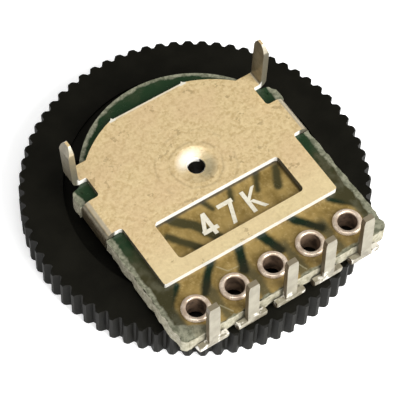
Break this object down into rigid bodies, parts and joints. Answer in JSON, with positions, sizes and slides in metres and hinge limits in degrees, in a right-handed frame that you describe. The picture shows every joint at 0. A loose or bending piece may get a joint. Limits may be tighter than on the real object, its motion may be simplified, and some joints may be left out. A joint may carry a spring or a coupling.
{
  "type": "thumbwheel potentiometer",
  "caption": "Low toothed thumbwheel turning on a clipped steel plate and laminate board, with a row of flat solder pins and two standing support legs.",
  "frame": {"origin": "on the thumbwheel's axis, in the plane of its outer (front) face, which is the lowest plane of the part", "axes": "+Z along the axis out through the frame plate, the way the pins point; +X along the row of terminals; +Y away from the terminals, towards the legs"},
  "size_m": [0.016, 0.016, 0.0059],
  "materials": {
    "plated_steel": "warm satin passivated plating, faintly mottled",
    "laminate": "lacquered phenolic laminate, tan and dark green",
    "carbon": "matt printed carbon",
    "silver_print": "printed silver conductor",
    "tinned_terminal": "dull tin plate",
    "tinned_eyelet": "bright tin plate",
    "print_white": "off-white ink",
    "washer_steel": "plain plated steel",
    "peg_brass": "turned brass",
    "black_moulding": "black moulded plastic, slight sheen",
    "spring_bronze": "phosphor bronze strip"
  },
  "bodies": {
    "frame": {"frame_plate": "plated_steel", "element_board": "laminate", "outer_track": "carbon", "inner_track": "carbon", "conductor_1": "silver_print", "terminal_1": "tinned_terminal", "eyelet_1": "tinned_eyelet", "conductor_2": "silver_print", "terminal_2": "tinned_terminal", "eyelet_2": "tinned_eyelet", "conductor_3": "silver_print", "terminal_3": "tinned_terminal", "eyelet_3": "tinned_eyelet", "conductor_4": "silver_print", "terminal_4": "tinned_terminal", "eyelet_4": "tinned_eyelet", "conductor_5": "silver_print", "terminal_5": "tinned_terminal", "eyelet_5": "tinned_eyelet", "value_figure_4": "print_white", "value_figure_7": "print_white", "value_letter_k": "print_white", "retaining_washer": "washer_steel", "stop_peg": "peg_brass"},
    "dial": {"thumbwheel": "black_moulding", "outer_wiper": "spring_bronze", "inner_wiper": "spring_bronze"}
  },
  "joints": [
    {"name": "dial_turn", "type": "hinge", "parent": "frame", "child": "dial", "pos_m": [0, 0, 0.0012], "axis": [0, 0, 1], "range_deg": [-140, 140]}
  ]
}
